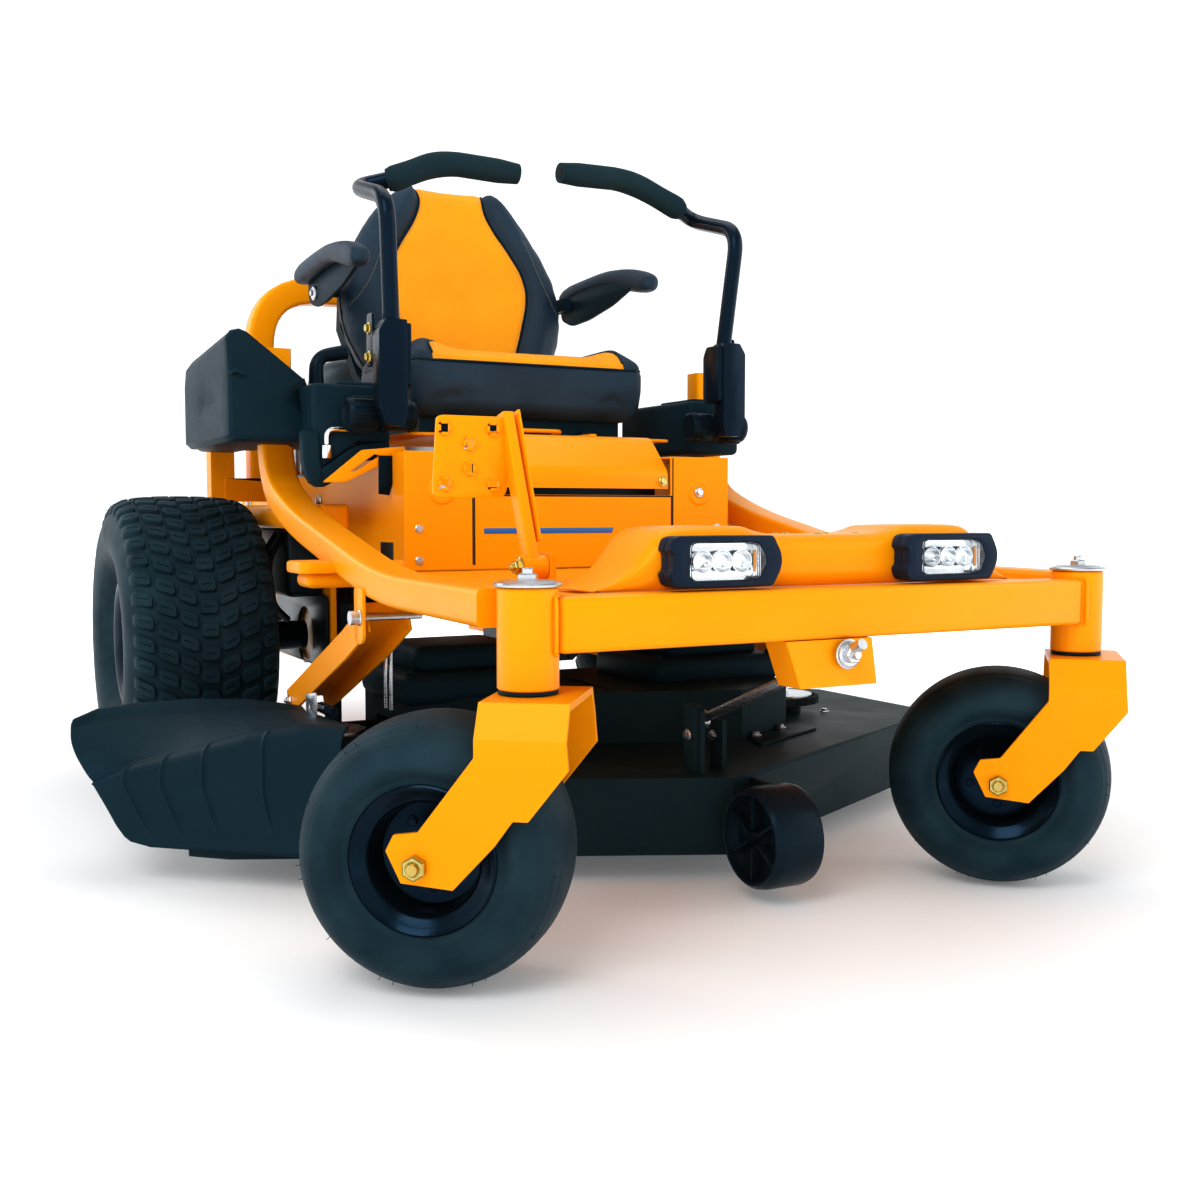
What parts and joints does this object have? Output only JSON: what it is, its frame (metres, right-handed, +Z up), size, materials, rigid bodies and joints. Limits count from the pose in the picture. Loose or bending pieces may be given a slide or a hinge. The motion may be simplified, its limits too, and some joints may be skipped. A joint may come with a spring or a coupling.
{
  "type": "zero turn mower",
  "caption": "Ride-on mower with trailing front castors, two driven rear wheels, lap-bar levers, a padded seat and a floating side-discharge cutting deck.",
  "frame": {"origin": "middle of the footprint, on the ground", "axes": "+Z up; forward is -Y; the mower's left side is +X"},
  "size_m": [1.3785, 1.9661, 1.0959],
  "materials": {
    "yellow_paint": "gloss powder coat",
    "black_paint": "gloss powder coat",
    "deck_black": "satin powder coat",
    "lamp_housing": "fine moulded grain",
    "black_plastic": "moulded grain",
    "cast_alloy": "as cast",
    "engine_black": "satin",
    "zinc": "zinc plated",
    "rim_black": "gloss",
    "tyre": "matt rubber",
    "belt": "matt",
    "foam": "closed-cell foam",
    "seat_vinyl": "grained vinyl",
    "armrest_vinyl": "moulded skin"
  },
  "bodies": {
    "chassis": {"front_beam": "yellow_paint", "side_rail_left": "yellow_paint", "side_rail_right": "yellow_paint", "rear_frame": "yellow_paint", "rear_hoop": "yellow_paint", "foot_pan": "yellow_paint", "front_cowl": "yellow_paint", "headlight_left": "lamp_housing", "headlight_right": "lamp_housing", "seat_box": "yellow_paint", "fuel_tank": "black_plastic", "console_left": "black_plastic", "front_hanger": "yellow_paint", "engine_block": "cast_alloy", "engine_shroud": "engine_black", "muffler": "engine_black", "muffler_guard": "black_paint", "transaxle_left": "cast_alloy", "transaxle_right": "cast_alloy"},
    "engine_drive": {"engine_pulley": "zinc"},
    "cap": {"fuel_cap": "black_plastic"},
    "clutch": {"clutch_knob": "black_plastic"},
    "height": {"height_pin": "black_plastic"},
    "deck": {"deck_shell": "deck_black", "deck_belt": "belt"},
    "roller": {"deck_roller": "black_plastic"},
    "chute": {"discharge_chute": "black_plastic"},
    "hanger_link": {"hanger_rod": "zinc"},
    "pedal": {"deck_pedal": "yellow_paint"},
    "seat_base": {"seat_platform": "yellow_paint"},
    "seat": {"seat_shell": "black_plastic", "seat_cushion": "seat_vinyl", "seat_back": "seat_vinyl"},
    "castor_left": {"castor_fork_left": "yellow_paint", "castor_spindle_left": "zinc", "castor_axle_left": "zinc"},
    "castor_wheel_left": {"castor_rim_left": "rim_black", "castor_tyre_left": "tyre"},
    "rear_wheel_left": {"rear_rim_left": "rim_black", "rear_tyre_left": "tyre"},
    "deck_arm_left": {"deck_arm_left": "yellow_paint"},
    "lever_hub_left": {"lever_hub_left": "black_plastic"},
    "lever_left": {"lever_left": "black_paint", "lever_grip_left": "foam"},
    "armrest_left": {"armrest_left": "armrest_vinyl"},
    "castor_right": {"castor_fork_right": "yellow_paint", "castor_spindle_right": "zinc", "castor_axle_right": "zinc"},
    "castor_wheel_right": {"castor_rim_right": "rim_black", "castor_tyre_right": "tyre"},
    "rear_wheel_right": {"rear_rim_right": "rim_black", "rear_tyre_right": "tyre"},
    "deck_arm_right": {"deck_arm_right": "yellow_paint"},
    "lever_hub_right": {"lever_hub_right": "black_plastic"},
    "lever_right": {"lever_right": "black_paint", "lever_grip_right": "foam"},
    "armrest_right": {"armrest_right": "armrest_vinyl"},
    "blade_left": {"blade_spindle_left": "zinc"},
    "blade_centre": {"blade_spindle_centre": "zinc"},
    "blade_right": {"blade_spindle_right": "zinc"}
  },
  "joints": [
    {"name": "castor_swivel_left", "type": "hinge", "parent": "chassis", "child": "castor_left", "pos_m": [0.4507, -0.881, 0.3], "axis": [0, 0, 1], "continuous": true},
    {"name": "castor_roll_left", "type": "hinge", "parent": "castor_left", "child": "castor_wheel_left", "pos_m": [0.38468, -0.81578, 0.1397], "axis": [0.7028, 0.7114, 0], "continuous": true},
    {"name": "rear_roll_left", "type": "hinge", "parent": "chassis", "child": "rear_wheel_left", "pos_m": [0.5642, 0.3203, 0.254], "axis": [1, 0, 0], "continuous": true},
    {"name": "lever_drive_left", "type": "hinge", "parent": "chassis", "child": "lever_hub_left", "pos_m": [0.3527, -0.173, 0.624], "axis": [1, 0, 0], "range_deg": [-15, 18]},
    {"name": "lever_swing_left", "type": "hinge", "parent": "lever_hub_left", "child": "lever_left", "pos_m": [0.3467, -0.205, 0.655], "axis": [0, 1, 0], "range_deg": [0, 28]},
    {"name": "armrest_fold_left", "type": "hinge", "parent": "seat", "child": "armrest_left", "pos_m": [0.3327, 0.291, 0.888], "axis": [-1, 0, 0], "range_deg": [0, 75]},
    {"name": "castor_swivel_right", "type": "hinge", "parent": "chassis", "child": "castor_right", "pos_m": [-0.3253, -0.881, 0.3], "axis": [0, 0, 1], "continuous": true},
    {"name": "castor_roll_right", "type": "hinge", "parent": "castor_right", "child": "castor_wheel_right", "pos_m": [-0.39882, -0.82438, 0.1397], "axis": [0.6101, 0.7923, 0], "continuous": true},
    {"name": "rear_roll_right", "type": "hinge", "parent": "chassis", "child": "rear_wheel_right", "pos_m": [-0.4388, 0.3203, 0.254], "axis": [1, 0, 0], "continuous": true},
    {"name": "lever_drive_right", "type": "hinge", "parent": "chassis", "child": "lever_hub_right", "pos_m": [-0.2273, -0.173, 0.624], "axis": [1, 0, 0], "range_deg": [-15, 18]},
    {"name": "lever_swing_right", "type": "hinge", "parent": "lever_hub_right", "child": "lever_right", "pos_m": [-0.2213, -0.205, 0.655], "axis": [0, -1, 0], "range_deg": [0, 28]},
    {"name": "armrest_fold_right", "type": "hinge", "parent": "seat", "child": "armrest_right", "pos_m": [-0.2073, 0.291, 0.888], "axis": [-1, 0, 0], "range_deg": [0, 75]},
    {"name": "deck_lift", "type": "slide", "parent": "chassis", "child": "deck", "axis": [0, 0, 1], "range_m": [0, 0.076]},
    {"name": "blade_spin_left", "type": "hinge", "parent": "deck", "child": "blade_left", "pos_m": [0.4627, -0.231, 0.1], "axis": [0, 0, 1], "continuous": true},
    {"name": "blade_spin_centre", "type": "hinge", "parent": "deck", "child": "blade_centre", "pos_m": [0.0627, -0.281, 0.1], "axis": [0, 0, 1], "continuous": true},
    {"name": "blade_spin_right", "type": "hinge", "parent": "deck", "child": "blade_right", "pos_m": [-0.3373, -0.231, 0.1], "axis": [0, 0, 1], "continuous": true},
    {"name": "engine_spin", "type": "hinge", "parent": "chassis", "child": "engine_drive", "pos_m": [0.0627, 0.639, 0.28], "axis": [0, 0, 1], "continuous": true},
    {"name": "roller_spin", "type": "hinge", "parent": "deck", "child": "roller", "pos_m": [0.0687, -0.76, 0.08], "axis": [1, 0, 0], "continuous": true},
    {"name": "chute_flip", "type": "hinge", "parent": "deck", "child": "chute", "pos_m": [-0.4073, -0.341, 0.206], "axis": [0, 1, 0], "range_deg": [0, 80]},
    {"name": "hanger_tilt", "type": "hinge", "parent": "chassis", "child": "hanger_link", "pos_m": [0.0527, -0.907, 0.322], "axis": [1, 0, 0], "range_deg": [0, 14]},
    {"name": "deck_arm_tilt_left", "type": "hinge", "parent": "chassis", "child": "deck_arm_left", "pos_m": [0.4567, -0.476, 0.348], "axis": [1, 0, 0], "range_deg": [0, 12]},
    {"name": "deck_arm_tilt_right", "type": "hinge", "parent": "chassis", "child": "deck_arm_right", "pos_m": [-0.3313, -0.476, 0.348], "axis": [1, 0, 0], "range_deg": [0, 12]},
    {"name": "pedal_press", "type": "hinge", "parent": "chassis", "child": "pedal", "pos_m": [-0.2268, -0.681, 0.416], "axis": [1, 0, 0], "range_deg": [0, 36]},
    {"name": "seat_tip", "type": "hinge", "parent": "chassis", "child": "seat_base", "pos_m": [0.0627, -0.226, 0.525], "axis": [1, 0, 0], "range_deg": [0, 15]},
    {"name": "seat_slide", "type": "slide", "parent": "seat_base", "child": "seat", "axis": [0, -1, 0], "range_m": [0, 0.08]},
    {"name": "clutch_pull", "type": "slide", "parent": "chassis", "child": "clutch", "axis": [0, 0, 1], "range_m": [0, 0.012]},
    {"name": "height_pin_lift", "type": "slide", "parent": "chassis", "child": "height", "axis": [0, 0, 1], "range_m": [0, 0.02]},
    {"name": "fuel_cap_turn", "type": "hinge", "parent": "chassis", "child": "cap", "pos_m": [-0.3373, 0.369, 0.71], "axis": [0, 0, 1], "continuous": true}
  ],
  "couplings": [
    {"joint": "blade_spin_left", "follows": "blade_spin_centre", "ratio": 1},
    {"joint": "blade_spin_right", "follows": "blade_spin_centre", "ratio": 1},
    {"joint": "engine_spin", "follows": "blade_spin_centre", "ratio": 0.7571},
    {"joint": "hanger_tilt", "follows": "deck_lift", "rad_per_m": 3.06},
    {"joint": "deck_arm_tilt_left", "follows": "deck_lift", "rad_per_m": 2.63},
    {"joint": "deck_arm_tilt_right", "follows": "deck_lift", "rad_per_m": 2.63},
    {"joint": "pedal_press", "follows": "deck_lift", "rad_per_m": 8}
  ]
}
